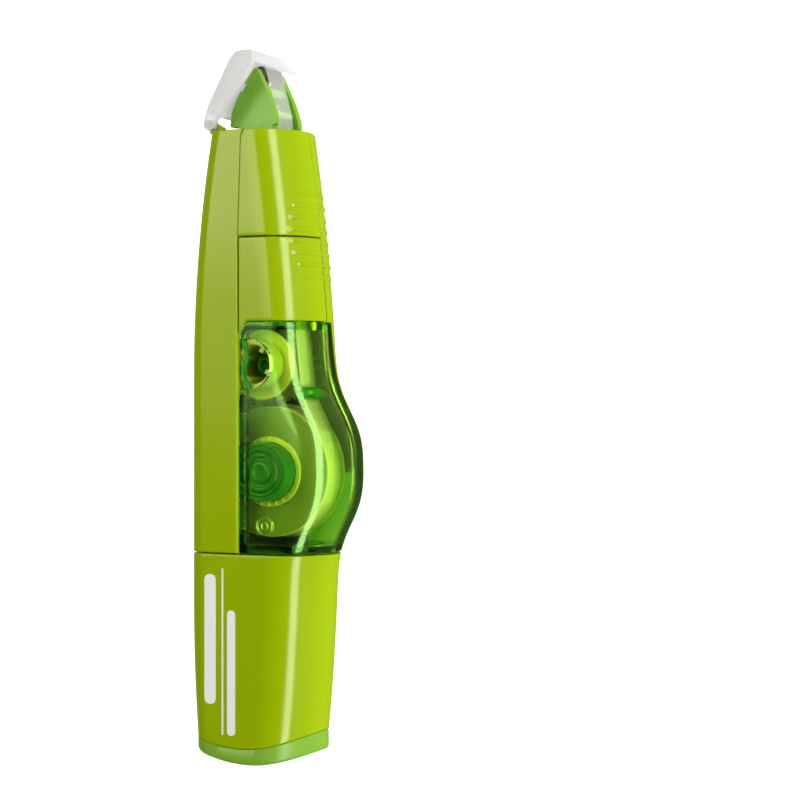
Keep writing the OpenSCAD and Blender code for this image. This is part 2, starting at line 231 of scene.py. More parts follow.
def loft(stations, row_of, ring=False, bend=None):
    """Points and faces of a shell. row_of(x) lists (step, outer inset, inner inset)."""
    rows = [row_of(x) for x in stations]
    n, m = len(stations), len(rows[0])
    points = []
    for side in (1, 2):
        for x, row in zip(stations, rows):
            for r in row:
                depth, z = skin(x, r[0], r[side])
                points.append(world(bend(x, depth, z) if bend else x, depth, z))
    inner = n * m
    last = m if ring else m - 1
    faces = []
    for i in range(n - 1):
        for j in range(last):
            a, b = i * m + j, i * m + (j + 1) % m
            c, d = b + m, a + m
            faces.append((a, d, c, b))
            faces.append((inner + a, inner + b, inner + c, inner + d))
    for i in (0, n - 1):
        for j in range(last):
            a, b = i * m + j, i * m + (j + 1) % m
            faces.append((a, b, inner + b, inner + a))
    if not ring:
        for i in range(n - 1):
            for j in (0, m - 1):
                a, d = i * m + j, (i + 1) * m + j
                faces.append((a, inner + a, inner + d, d))
    return points, faces


def fillet(points, radius, n=5):
    """Rounds the corners of a closed outline."""
    out = []
    count = len(points)
    for i, p in enumerate(points):
        here = Vector(p)
        before = Vector(points[i - 1]) - here
        after = Vector(points[(i + 1) % count]) - here
        reach = min(radius, before.length * 0.49, after.length * 0.49)
        if reach < 1e-4:
            out.append(tuple(here))
            continue
        a = here + before.normalized() * reach
        b = here + after.normalized() * reach
        for k in range(n + 1):
            f = k / n
            q = a * (1 - f) ** 2 + here * 2 * f * (1 - f) + b * f ** 2
            out.append(tuple(q))
    return out


def lathe(profile, at, segments=96):
    """Points and faces of a closed [radius, z] profile turned about an axis along z."""
    count = len(profile)
    points, faces = [], []
    for s in range(segments):
        a = 2 * math.pi * s / segments
        for r, z in profile:
            points.append(world(at[0] + r * math.cos(a), at[1] + r * math.sin(a), z))
    for s in range(segments):
        t = (s + 1) % segments
        for i in range(count):
            j = (i + 1) % count
            faces.append((s * count + i, s * count + j, t * count + j, t * count + i))
    return points, faces


def ring_profile(r0, r1, z0, z1, edge):
    return fillet([(r0, z0), (r1, z0), (r1, z1), (r0, z1)], edge, 3)


def prism(outline, z0, z1):
    """Points and faces of an [x, depth] outline between two heights."""
    n = len(outline)
    points = [world(x, d, z) for z in (z0, z1) for x, d in outline]
    faces = [tuple(range(n)), tuple(range(2 * n - 1, n - 1, -1))]
    faces += [(i, (i + 1) % n, n + (i + 1) % n, n + i) for i in range(n)]
    return points, faces


def box(x0, x1, d0, d1, z0, z1):
    return prism([(x0, d0), (x1, d0), (x1, d1), (x0, d1)], z0, z1)


def join(*parts):
    points, faces = [], []
    for p, f in parts:
        base = len(points)
        points += p
        faces += [tuple(i + base for i in face) for face in f]
    return points, faces


def bevel(obj, width, angle=40, segments=3):
    mod = obj.modifiers.new("bevel", "BEVEL")
    mod.width = width * MM
    mod.segments = segments
    mod.limit_method = "ANGLE"
    mod.angle_limit = math.radians(angle)
    mod.harden_normals = True


def cut(obj, *cutters, operation="DIFFERENCE"):
    """Applies booleans with throw-away solids."""
    bpy.context.view_layer.objects.active = obj
    for points, faces in cutters:
        tool = make_piece("cutter", points, faces, None, None, None)
        mod = obj.modifiers.new("cut", "BOOLEAN")
        mod.operation = operation
        mod.solver = "EXACT"
        mod.object = tool
        graph = bpy.context.evaluated_depsgraph_get()
        mesh = bpy.data.meshes.new_from_object(obj.evaluated_get(graph))
        obj.modifiers.remove(mod)
        obj.data = mesh
        bpy.data.objects.remove(tool)
    obj.data.shade_smooth()
    obj.data.set_sharp_from_angle(angle=math.radians(40))


def circle(at, r, n):
    return [(at[0] + r * math.cos(math.radians(a)), at[1] + r * math.sin(math.radians(a)))
            for a in steps(0, 360, n)[:n]]


# ---- materials ------------------------------------------------------------------------------
def new_material(name):
    mat = bpy.data.materials.new(name)
    mat.use_nodes = True
    tree = mat.node_tree
    shader = tree.nodes["Principled BSDF"]
    return mat, tree, shader


def noise(tree, scale, detail=3, stretch=None):
    coords = tree.nodes.new("ShaderNodeTexCoord")
    tex = tree.nodes.new("ShaderNodeTexNoise")
    tex.inputs["Scale"].default_value = scale
    tex.inputs["Detail"].default_value = detail
    if stretch:
        mapping = tree.nodes.new("ShaderNodeMapping")
        mapping.inputs["Scale"].default_value = stretch
        tree.links.new(coords.outputs["Object"], mapping.inputs["Vector"])
        tree.links.new(mapping.outputs["Vector"], tex.inputs["Vector"])
    else:
        tree.links.new(coords.outputs["Object"], tex.inputs["Vector"])
    return tex.outputs["Fac"]


def ramp(tree, fac, low, high, start=0.3, end=0.7):
    node = tree.nodes.new("ShaderNodeMapRange")
    node.inputs["From Min"].default_value = start
    node.inputs["From Max"].default_value = end
    node.inputs["To Min"].default_value = low
    node.inputs["To Max"].default_value = high
    tree.links.new(fac, node.inputs["Value"])
    return node.outputs["Result"]


def mix_colour(tree, fac, a, b):
    node = tree.nodes.new("ShaderNodeMix")
    node.data_type = "RGBA"
    node.inputs["A"].default_value = (*a, 1)
    node.inputs["B"].default_value = (*b, 1)
    tree.links.new(fac, node.inputs["Factor"])
    return node.outputs["Result"]


def bump(tree, shader, height, strength, distance):
    node = tree.nodes.new("ShaderNodeBump")
    node.inputs["Strength"].default_value = strength
    node.inputs["Distance"].default_value = distance * MM
    tree.links.new(height, node.inputs["Height"])
    tree.links.new(node.outputs["Normal"], shader.inputs["Normal"])


def moulded(name, colour, shade, rough, tint=(1, 1, 1), grain=0.04, glow=0.0):
    """Injection-moulded plastic: faint flow mottling, handling scratches, fine skin."""
    mat, tree, shader = new_material(name)
    mottle = ramp(tree, noise(tree, 120, 4), 0, 1)
    tree.links.new(mix_colour(tree, mottle, colour, shade), shader.inputs["Base Color"])
    scratches = noise(tree, 500, 6, stretch=(0.15, 3, 3))
    tree.links.new(ramp(tree, scratches, *rough), shader.inputs["Roughness"])
    bump(tree, shader, noise(tree, 2500, 2), grain, 0.05)
    shader.inputs["Specular Tint"].default_value = (*tint, 1)
    shader.inputs["IOR"].default_value = 1.42
    shader.inputs["Subsurface Weight"].default_value = glow
    shader.inputs["Subsurface Radius"].default_value = (1, 1, 0.3)
    shader.inputs["Subsurface Scale"].default_value = 1.2 * MM
    return mat


def clear(name, absorb, density, coat=0.0):
    """Clear tinted plastic: the tint comes from its thickness, and shadows pass through."""
    mat, tree, shader = new_material(name)
    shader.inputs["Base Color"].default_value = (1, 1, 1, 1)
    shader.inputs["Transmission Weight"].default_value = 1
    shader.inputs["IOR"].default_value = 1.49
    shader.inputs["Specular Tint"].default_value = (0.3, 0.75, 0.12, 1)
    shader.inputs["Coat Weight"].default_value = coat
    shader.inputs["Coat Roughness"].default_value = 0.16
    flow = noise(tree, 260, 3, stretch=(0.5, 1.5, 1.5))
    tree.links.new(ramp(tree, flow, 0.03, 0.06), shader.inputs["Roughness"])
    bump(tree, shader, noise(tree, 300, 2), 0.03, 0.05)
    volume = tree.nodes.new("ShaderNodeVolumeAbsorption")
    volume.inputs["Color"].default_value = (*absorb, 1)
    volume.inputs["Density"].default_value = density
    out = tree.nodes["Material Output"]
    tree.links.new(volume.outputs["Volume"], out.inputs["Volume"])
    path = tree.nodes.new("ShaderNodeLightPath")
    through = tree.nodes.new("ShaderNodeBsdfTransparent")
    either = tree.nodes.new("ShaderNodeMath")
    either.operation = "MAXIMUM"
    tree.links.new(path.outputs["Is Shadow Ray"], either.inputs[0])
    tree.links.new(path.outputs["Is Diffuse Ray"], either.inputs[1])
    mixer = tree.nodes.new("ShaderNodeMixShader")
    tree.links.new(either.outputs["Value"], mixer.inputs["Fac"])
    tree.links.new(shader.outputs["BSDF"], mixer.inputs[1])
    tree.links.new(through.outputs["BSDF"], mixer.inputs[2])
    tree.links.new(mixer.outputs["Shader"], out.inputs["Surface"])
    return mat


def wound(name, colour, shade, at):
    """Side of a wound tape: fine rings round the reel's axis."""
    mat, tree, shader = new_material(name)
    coords = tree.nodes.new("ShaderNodeTexCoord")
    mapping = tree.nodes.new("ShaderNodeMapping")
    centre = world(at[0], at[1], 0)
    mapping.inputs["Location"].default_value = (-centre[0], -centre[1], 0)
    tree.links.new(coords.outputs["Object"], mapping.inputs["Vector"])
    wave = tree.nodes.new("ShaderNodeTexWave")
    wave.wave_type = "RINGS"
    wave.rings_direction = "Z"
    wave.inputs["Scale"].default_value = 900
    wave.inputs["Distortion"].default_value = 0.6
    wave.inputs["Detail"].default_value = 2
    tree.links.new(mapping.outputs["Vector"], wave.inputs["Vector"])
    rings = ramp(tree, wave.outputs["Fac"], 0, 1, 0, 1)
    tree.links.new(mix_colour(tree, rings, colour, shade), shader.inputs["Base Color"])
    tree.links.new(ramp(tree, noise(tree, 700), 0.35, 0.55), shader.inputs["Roughness"])
    bump(tree, shader, rings, 0.3, 0.03)
    return mat


def milky(name, colour, rough, weight, depth=0.4):
    """Translucent pale plastic: weight is how much light passes, depth how much scatters."""
    mat, tree, shader = new_material(name)
    mottle = ramp(tree, noise(tree, 160, 3), 0, 1)
    shade = tuple(c * 0.96 for c in colour)
    tree.links.new(mix_colour(tree, mottle, colour, shade), shader.inputs["Base Color"])
    tree.links.new(ramp(tree, noise(tree, 800, 4), rough, rough * 1.5), shader.inputs["Roughness"])
    bump(tree, shader, noise(tree, 1800, 2), 0.05, 0.04)
    shader.inputs["Transmission Weight"].default_value = weight
    shader.inputs["Subsurface Weight"].default_value = depth
    shader.inputs["Subsurface Radius"].default_value = (1, 1, 1)
    shader.inputs["Subsurface Scale"].default_value = 1.5 * MM
    return mat


def thin_tape(name, colour, x_from, x_to, alpha):
    """Tape that is dense on its way out of the case and thinner over the head."""
    mat = milky(name, colour, rough=0.3, weight=0.2, depth=0)
    tree = mat.node_tree
    coords = tree.nodes.new("ShaderNodeTexCoord")
    split = tree.nodes.new("ShaderNodeSeparateXYZ")
    tree.links.new(coords.outputs["Object"], split.inputs["Vector"])
    ends = world(x_from, 0, 0)[0], world(x_to, 0, 0)[0]
    thin = ramp(tree, split.outputs["X"], 1, alpha, *ends)
    tree.links.new(thin, tree.nodes["Principled BSDF"].inputs["Alpha"])
    return mat


LIME = moulded("lime_plastic", (0.32, 0.46, 0), (0.305, 0.445, 0), rough=(0.12, 0.18),
               tint=(1, 1, 0.8), grain=0.02)
APPLE = moulded("apple_plastic", (0.19, 0.46, 0.014), (0.175, 0.43, 0.012), rough=(0.26, 0.36))
# Paler copy of the apple plastic for the head's web, crossbar and guide pins: its lighter tone is
# painted light, standing in for light that doesn't reach them under the tape.
APPLE_PAINTED_LIGHT = moulded("apple_plastic_painted_light", (0.44, 0.72, 0.16), (0.40, 0.68, 0.14), rough=(0.3, 0.4),
               glow=0.2)
CAP_GREEN = moulded("cap_plastic", (0.21, 0.44, 0.03), (0.20, 0.42, 0.026), rough=(0.3, 0.42))
REEL = moulded("reel_plastic", (0.88, 0.88, 0.2), (0.82, 0.83, 0.17), rough=(0.25, 0.35), glow=0.15)
WINDOW = clear("clear_green_window", (0.78, 0.955, 0.2), density=1150, coat=0.4)
DEEP = clear("clear_green_deep", (0.58, 0.80, 0.02), density=5200)
BOSS = moulded("green_boss", (0.004, 0.26, 0.006), (0.004, 0.20, 0.005), rough=(0.06, 0.12),
               glow=0.2)
TAPE_SIDE = wound("wound_tape", (0.21, 0.31, 0.04), (0.14, 0.22, 0.025), SUPPLY)
FILM_SIDE = wound("wound_film", (0.70, 0.74, 0.42), (0.58, 0.64, 0.32), TAKEUP)
TAPE = thin_tape("correction_tape", (0.80, 0.81, 0.76), x_from=91, x_to=99, alpha=0.3)
TAPE_RIM = milky("wound_tape_rim", (1, 1, 0.6), rough=0.35, weight=0)
FILM = milky("carrier_film", (0.78, 0.79, 0.78), rough=0.3, weight=0.4)
COVER = milky("cover_plastic", (0.87, 0.875, 0.89), rough=0.4, weight=0.6, depth=0.3)
COVER.node_tree.nodes["Principled BSDF"].inputs["Specular IOR Level"].default_value = 0.15
TIP_BROWN = moulded("tip_brown", (0.085, 0.045, 0.03), (0.07, 0.038, 0.025), rough=(0.25, 0.4))
# Darker, greener copy of the reel plastic for the take-up knob: painted shade for its shadowed cup.
REEL_PAINTED_SHADE = moulded("reel_plastic_painted_shade", (0.55, 0.68, 0.09), (0.50, 0.62, 0.08), rough=(0.25, 0.35))
RUBBER = moulded("clutch_rubber", (0.02, 0.02, 0.02), (0.03, 0.03, 0.03), rough=(0.5, 0.7))
INK = moulded("white_print", (0.94, 0.94, 0.94), (0.92, 0.92, 0.92), rough=(0.35, 0.5))

# ---- outer shells ---------------------------------------------------------------------------
ARC_MM = HALF_T * math.pi / 2  # length of one step along the belly arc
RIB_X = 82.15
RIB_PITCH = 1.87
RIB_COUNT = 8
RIB_OVAL = 9
RIB_SPREAD = 46.5 / 90
RIB_H = 0.16
RIBBED_X0 = 74.5
RIBBED_X1 = 89.8
RAIL_Z = (3.2, 11.4)
RAIL_W = 1.4
RAIL_END_X = 36


def rib(x, step):
    """Height of the thumb ribs: bars that fill an oval on the crest of the belly."""
    span = 1 - ((x - RIB_X) / RIB_OVAL) ** 2
    if span <= 0:
        return 0
    half_width = RIB_SPREAD * math.sqrt(span)
    k = (x - RIB_X) / RIB_PITCH + (RIB_COUNT - 1) / 2
    if k < -0.4 or k > RIB_COUNT - 0.6:
        return 0
    across = abs(k - round(k)) * RIB_PITCH
    along = (half_width - abs(step - 4)) * ARC_MM
    return RIB_H * smooth((0.42 - across) / 0.22) * smooth(along / 0.5)


def shell_rows(low_step, high_step, inner, low, high, per_mm):
    """Row maker for a ribbed shell with rounded rims: low and high are its end stations,
    and per_mm says how many steps a millimetre is at each edge."""
    def row(x):
        t0, t1 = low_step(x), high_step(x)
        start = [t0 + s * per_mm[0] for s in RIM_STEPS]
        end = [t1 - s * per_mm[1] for s in reversed(RIM_STEPS)]
        middle = [start[-1] + (end[0] - start[-1]) * f for f in inner]
        at_end = rim_inset(min(x - low, high - x))
        out = []
        for t in start + middle + end:
            s = min((t - t0) / per_mm[0], (t1 - t) / per_mm[1])
            w = max(at_end, rim_inset(s))
            if w == 0:
                w = -rib(x, t)
            out.append((t, w, WALL))
        return out
    return row


def fractions(n):
    return [i / n for i in range(1, n)]


def make_back_shell():
    def low(x):
        return far_edge(x) + 0.006

    def high(x):
        return 8 + near_step(x, seam_at(x))

    inner = steps(GRIP_X, RIBBED_X0 - 0.5, 90) + steps(RIBBED_X0, RIBBED_X1, 150)
    inner += steps(RIBBED_X1 + 0.5, NOSE_X, 16) + [WINDOW_X - 0.01, WINDOW_X + 0.01]
    stations = rimmed(GRIP_X, NOSE_X, sorted(inner))
    row = shell_rows(low, high, fractions(110), GRIP_X, NOSE_X, (1 / ARC_MM, 1 / 8))
    rails = []
    for z in RAIL_Z:
        rails.append(box(20, RAIL_END_X, 1.5, 2.3, z, z + RAIL_W))
        rails.append(box(GRIP_X + 0.6, RAIL_END_X, 1.1, 1.6, z, z + RAIL_W))
    points, faces = join(loft(stations, row), *rails)
    make_piece("back_shell", points, faces, "shell", "lime_shell", LIME, ["back_shell"])


def make_quarter(name, body, x0, x1, clear_by, bend=None):
    """Near quarter panel between two stations, clear_by off the seam."""
    def low(x):
        return near_step(x, seam_at(x) + clear_by)

    def high(x):
        return 4 - clear_by / ARC_MM

    stations = rimmed(x0, x1, steps(x0, x1, round((x1 - x0) / 0.12)))
    row = shell_rows(low, high, fractions(64), x0, x1, (1 / 9, 1 / ARC_MM))
    points, faces = loft(stations, row, bend=bend)
    make_piece(name, points, faces, body, "lime_shell", LIME, [name])


REFILL_X0 = WINDOW_X + 0.1
REFILL_X1 = PANEL_X - GAP
CORNER_REACH = 1.9
CORNER_DEPTH = 1.3


def window_corner(depth):
    """The panel's lower corner by the seam reaches down and cuts the window's corner."""
    return CORNER_REACH * max(0, 1 - (depth - SEAM_DEPTH - GAP) / CORNER_DEPTH)


def bend_panel(x, depth, z):
    reach = window_corner(depth) if z > HALF_T else 0
    return x - reach * (REFILL_X1 - x) / (REFILL_X1 - REFILL_X0)


CAP_X = 3
CAP_SEAM_X = 1.15
CAP_SEAM_DEPTH = 9.3
CAP_END_DEPTH = 10.6
CAP_CURVE = 0.021
CAP_EDGE = 0.5
CAP_CHAMFER = 0.12
COLLAR_OUT = WALL + 0.1
COLLAR_LENGTH = 2.5


def cap_seam(depth):
    """Curved seam between the grip and the end cap."""
    return CAP_SEAM_X + CAP_CURVE * (depth - CAP_SEAM_DEPTH) ** 2


def cap_end(depth):
    return CAP_LOW_X + CAP_CURVE * (depth - CAP_END_DEPTH) ** 2


def make_grip():
    x0, x1 = CAP_X, GRIP_X - GAP
    stations = rimmed(x0, x1, steps(x0, x1, 48))
    ring = steps(0, 1, 6)[:-1] + steps(1, 2, 12)[:-1] + steps(2, 3, 12)[:-1]
    ring += steps(3, 5, 64)[:-1] + steps(5, 6, 12)[:-1] + steps(6, 7, 12)[:-1] + steps(7, 8, 6)[:-1]

    def row(x):
        w = rim_inset(min(x - x0, x1 - x))
        return [(t, w, WALL) for t in ring]

    def bend(x, depth, z):
        f = max(0, 1 - (x - x0) / 4)
        return x + (cap_seam(depth) + 0.02 - x0) * f

    points, faces = loft(stations, row, ring=True, bend=bend)
    make_piece("rear_grip", points, faces, "grip", "lime_shell", LIME, ["rear_grip"])


def make_end_cap():
    """Lid whose edge follows the skin, with a rounded outer rim and a collar inside."""
    ring = steps(0, 1, 5)[:-1] + steps(1, 2, 12)[:-1] + steps(2, 3, 10)[:-1]
    ring += steps(3, 5, 60)[:-1] + steps(5, 6, 10)[:-1] + steps(6, 7, 12)[:-1] + steps(7, 8, 5)[:-1]
    rows = [(w, cap_end, 0) for w in (2.6, 1.6, 1.0)]
    for a in steps(0, 90, 6):
        c = math.radians(a)
        rows.append((CAP_EDGE * (1 - math.sin(c)), cap_end, CAP_EDGE * (1 - math.cos(c))))
    rows += [(0, cap_seam, -CAP_CHAMFER), (0.1, cap_seam, 0), (COLLAR_OUT, cap_seam, 0),
             (COLLAR_OUT, cap_seam, COLLAR_LENGTH), (COLLAR_OUT + 1, cap_seam, COLLAR_LENGTH),
             (COLLAR_OUT + 1, cap_seam, 0.3)]
    points = []
    for w, x_of, dx in rows:
        for t in ring:
            depth, z = skin(CAP_X, t, w)
            points.append(world(x_of(depth) + dx, depth, z))
    m = len(ring)
    faces = []
    for i in range(len(rows) - 1):
        for j in range(m):
            k = (j + 1) % m
            faces.append((i * m + j, i * m + k, (i + 1) * m + k, (i + 1) * m + j))
    faces += close_ring(ring, 0)
    faces += close_ring(ring, (len(rows) - 1) * m)
    make_piece("end_cap", points, faces, "grip", "green_head", CAP_GREEN, ["end_cap"])


def close_ring(ring, base):
    """Strips across a section ring, between points at mirrored steps."""
    m = len(ring)
    faces = []
    for j in range(m // 2):
        a, b = j, j + 1
        c, d = (m - b) % m, (m - a) % m
        quad = [base + a, base + b, base + c, base + d]
        unique = list(dict.fromkeys(quad))
        if len(unique) > 2:
            faces.append(tuple(unique))
    return faces


# ---- clear case -----------------------------------------------------------------------------
CASE_X0 = GRIP_X + 0.1
CASE_X1 = WINDOW_X - 0.02
CASE_LEAN = 0.006
FLANGE = 1.3
FLANGE_INSET = 3.1
GEAR_ROOM = 0.3
CASE_EDGE = 0.12
WINDING_HOLE_R = 4.1
REEL_SLOT = 6.8


def case_stations():
    return sorted(set(steps(CASE_X0, 40, 16) + steps(40, 56, 64) + steps(56, CASE_X1, 26)))


def case_inner(x, wall):
    """Inner inset: a thick flange closes each end of the case."""
    if x < CASE_X0 + FLANGE or x > CASE_X1 - FLANGE:
        return max(wall, FLANGE_INSET)
    return wall


def end_rounded(x):
    return rim_inset(min(x - CASE_X0, CASE_X1 - x), 0.2)


def case_near_row(x):
    s = near_step(x, SEAM_DEPTH + GAP)
    k = near_step(x, SEAM_DEPTH + GAP + CASE_WALL)
    deep = CASE_CLEAR + CASE_WALL
    back = CASE_BACK + CASE_WALL
    rows = [(t, CASE_BACK, back) for t in (0, 1, 1.5, 2)]
    rows += [(near_step(x, 7), CASE_CLEAR, deep), (s, CASE_CLEAR, deep),
             (s + CASE_LEAN, CASE_EDGE, deep), (s + 3 * CASE_LEAN, 0, deep), (k, 0, deep),
             (k + CASE_LEAN, 0, WINDOW_WALL)]
    rows += [(t, 0, WINDOW_WALL) for t in steps(k + 5 * CASE_LEAN, 3, 6)]
    rows += [(t, 0, WINDOW_WALL) for t in steps(3, 4 - 0.002, 26)[1:]]
    return [(t, wo + end_rounded(x), case_inner(x, wi)) for t, wo, wi in rows]


def case_far_row(x):
    e = far_edge(x) - 0.015
    k = e - 0.07
    deep = CASE_CLEAR + CASE_WALL
    back = CASE_BACK + CASE_WALL
    rows = [(t, 0, WINDOW_WALL) for t in steps(4.002, k, 10)]
    rows += [(k + CASE_LEAN, 0, deep), (e - CASE_LEAN, 0, deep), (e, CASE_EDGE, deep),
             (e + CASE_LEAN, CASE_CLEAR, deep)]
    rows += [(t, CASE_CLEAR, deep) for t in steps(e + 2 * CASE_LEAN, far_step(x, 7), 16)]
    rows.append((6, CASE_BACK, back - GEAR_ROOM))
    rows += [(t, CASE_BACK, back) for t in (6.5, 7, 8 - 0.001)]
    return [(t, wo + end_rounded(x), case_inner(x, wi)) for t, wo, wi in rows]


def bend_case(x, depth, z):
    """Keeps the clear wall behind the panel's corner."""
    reach = window_corner(depth) if z > BODY_T - WINDOW_WALL - 0.3 else 0
    f = max(0, (x - (WINDOW_X - 4)) / 4)
    return x - reach * f


def make_case():
    extra = [CASE_X0 + FLANGE, CASE_X0 + FLANGE - 0.02, CASE_X1 - FLANGE, WINDOW_X - FLANGE,
             GRIP_X + 0.16, GRIP_X + 0.22, WINDOW_X - 0.08, WINDOW_X - 0.14]
    stations = sorted(set(case_stations() + extra))
    points, faces = loft(stations, case_near_row, bend=bend_case)
    near = make_piece("case_near", points, faces, "refill", "clear_green", WINDOW, ["case_near"])
    hole = prism(circle(TAKEUP, WINDING_HOLE_R, 96), 12, 18)
    slot = box(SUPPLY[0] - REEL_SLOT, SUPPLY[0] + REEL_SLOT, 1, 5, FLANGE_Z - 0.3,
               TAPE_Z + TAPE_W + 0.4)
    cut(near, hole, slot)
    points, faces = loft(stations, case_far_row)
    far = make_piece("case_far", points, faces, "refill", "clear_green", DEEP, ["case_far"])
    cut(far, slot)


make_back_shell()
make_quarter("nose_cover", "shell", PANEL_X, NOSE_X, 0.03)
make_quarter("refill_cover", "refill", REFILL_X0, REFILL_X1, GAP, bend_panel)
make_grip()
make_end_cap()
make_case()

# ---- reels ----------------------------------------------------------------------------------
GROOVE = 0.03
GROOVES = 26
HUB_R = 5.6
SUPPLY_FLANGE_R = 10.6
FILM_CORE_R = 3.4
TAKEUP_FLANGE_R = 5.6
NEAR_FLANGE_Z = 10.6
KNOB_TOP = 14.4


def grooved(r0, r1, z, rise, count):
    """Profile along one face of a winding: fine grooves between its turns."""
    points = []
    for k in range(count):
        r = r0 + (r1 - r0) * k / count
        points.append((r, z))
        points.append((r + (r1 - r0) * 0.6 / count, z + rise))
    return points


def winding(name, at, r0, r1, body, slot, material, node):
    top = grooved(r0, r1 - 0.1, TAPE_Z + TAPE_W - GROOVE, GROOVE, GROOVES)
    low = grooved(r0, r1 - 0.1, TAPE_Z + GROOVE, -GROOVE, GROOVES)
    edge = [(r1, TAPE_Z + TAPE_W - 0.12), (r1, TAPE_Z + 0.12)]
    points, faces = lathe(low + edge[::-1] + top[::-1], at, 120)
    make_piece(name, points, faces, body, slot, material, [node], sharp=60)


def spokes(at, r0, r1, z0, z1, count, width, phase=0):
    """Short radial bars round an axis, as a list of prisms."""
    bars = []
    for k in range(count):
        a = 2 * math.pi * k / count + phase
        radial, side = (math.cos(a), math.sin(a)), (-math.sin(a), math.cos(a))
        corners = []
        for r, w in ((r0, -1), (r1, -1), (r1, 1), (r0, 1)):
            corners.append((at[0] + r * radial[0] + w * width / 2 * side[0],
                            at[1] + r * radial[1] + w * width / 2 * side[1]))
        bars.append(prism(corners, z0, z1))
    return bars


def make_supply_reel():
    outline = [(3.35, FLANGE_Z), (SUPPLY_FLANGE_R, FLANGE_Z), (SUPPLY_FLANGE_R, FLANGE_Z + 0.5),
               (9.9, FLANGE_Z + 0.5), (9.7, FLANGE_Z + 0.4), (HUB_R, FLANGE_Z + 0.4),
               (HUB_R, 10.8), (4.75, 10.8), (4.75, FLANGE_Z + 0.45), (3.35, FLANGE_Z + 0.45)]
    points, faces = lathe(fillet(outline, 0.14, 3), SUPPLY, 128)
    make_piece("supply_core", points, faces, "supply_reel", "reel_lime", REEL, ["supply_core"])
    bars = spokes(SUPPLY, 5.5, 10.4, 4.72, 4.95, count=12, width=0.5)
    teeth = spokes(SUPPLY, 4.85, 5.5, 10.75, 10.95, count=24, width=0.3)
    points, faces = join(*bars, *teeth)
    make_piece("supply_core_ribs", points, faces, "supply_reel", "reel_lime", REEL)
    winding("supply_tape", SUPPLY, HUB_R, SUPPLY_R - 0.08, "supply_reel", "correction_tape",
            TAPE_SIDE, "supply_tape")
    rim = ring_profile(SUPPLY_R - 0.1, SUPPLY_R, TAPE_Z + 0.02, TAPE_Z + TAPE_W - 0.02, 0.04)
    points, faces = lathe(rim, SUPPLY, 128)
    make_piece("supply_tape_rim", points, faces, "supply_reel", "correction_tape", TAPE_RIM)


def make_takeup_reel():
    flanges = []
    for z in (FLANGE_Z, NEAR_FLANGE_Z):
        rim = [(3.42, z), (TAKEUP_FLANGE_R, z), (TAKEUP_FLANGE_R, z + 0.5), (5.2, z + 0.5),
               (5.1, z + 0.4), (3.42, z + 0.4)]
        flanges.append(lathe(fillet(rim, 0.12, 3), TAKEUP, 112))
    points, faces = join(*flanges)
    make_piece("takeup_reel", points, faces, "takeup", "reel_lime", REEL, ["takeup_reel"])
    outline = [(1.65, FLANGE_Z), (FILM_CORE_R, FLANGE_Z), (FILM_CORE_R, 11.2), (3.95, 11.3),
               (3.95, KNOB_TOP), (3.2, KNOB_TOP), (3.0, KNOB_TOP - 0.5), (3.0, 6.8), (1.65, 6.8)]
    knob = lathe(fillet(outline, 0.15, 3), TAKEUP, 112)
    ticks = spokes(TAKEUP, 3.3, 4.02, KNOB_TOP - 0.7, KNOB_TOP + 0.12, count=36, width=0.22)
    wings = spokes(TAKEUP, 2.2, 3.05, 7, KNOB_TOP - 0.8, count=4, width=0.7, phase=0.5)
    points, faces = join(knob, *ticks, *wings)
    # The knob takes the darker reel plastic: painted shade in its cup.
    make_piece("takeup_knob", points, faces, "takeup", "reel_lime", REEL_PAINTED_SHADE)
    winding("takeup_film", TAKEUP, FILM_CORE_R, TAKEUP_R, "takeup", "carrier_film", FILM_SIDE,
            "takeup_film")


def make_posts():
    """Axle sleeve and snap button of the supply reel, and the post of the take-up reel."""
    sleeve = [(3.4, TAPE_Z), (4.7, TAPE_Z), (4.7, 13.6), (4.3, 13.65), (4.2, 13.3), (3.9, 13.3),
              (3.8, 13.65), (3.4, 13.6)]
    points, faces = lathe(fillet(sleeve, 0.12, 3), SUPPLY, 96)
    make_piece("supply_axle", points, faces, "refill", "clear_green", BOSS, ["supply_axle"])
    button = [(0.02, 2.4), (3.3, 2.4), (3.3, 13.3), (2.9, 13.6), (2.5, 13.6), (2.35, 13.2),
              (1.9, 13.2), (1.75, 13.7), (1.2, 13.9), (0.9, 13.4), (0.02, 13.5)]
    points, faces = lathe(fillet(button, 0.15, 3), SUPPLY, 96)
    make_piece("supply_pin", points, faces, "refill", "clear_green", BOSS, ["supply_pin"])
    snaps = spokes(SUPPLY, 2.3, 3.2, 13.4, 13.75, count=4, width=1, phase=0.6)
    points, faces = join(*snaps)
    make_piece("supply_pin_snaps", points, faces, "refill", "clear_green", BOSS)
    post = [(0.02, 2.4), (1.6, 2.4), (1.6, 10.2), (1.2, 10.7), (0.7, 10.7), (0.6, 10), (0.02, 10)]
    points, faces = lathe(fillet(post, 0.15, 3), TAKEUP, 64)
    make_piece("takeup_post", points, faces, "refill", "clear_green", BOSS, ["takeup_post"])
    guide = [(0.02, 4), (0.5, 4), (0.5, 5.2), (1, 5.3), (1, 12.7), (0.5, 12.8), (0.5, 13.4),
             (0.02, 13.4)]
    points, faces = lathe(fillet(guide, 0.08, 3), POST, 48)
    make_piece("guide_post", points, faces, "refill", "clear_green", BOSS, ["guide_post"])


def make_case_marks():
    """Plain moulded rings on the inside of the near wall."""
    rings = [lathe(ring_profile(1.25, 1.5, 14.6, 14.95, 0.05), MARK, 64),
             lathe(ring_profile(0.45, 0.62, 14.7, 14.95, 0.04), MARK, 48)]
    points, faces = join(*rings)
    make_piece("case_mark", points, faces, "refill", "clear_green", WINDOW)


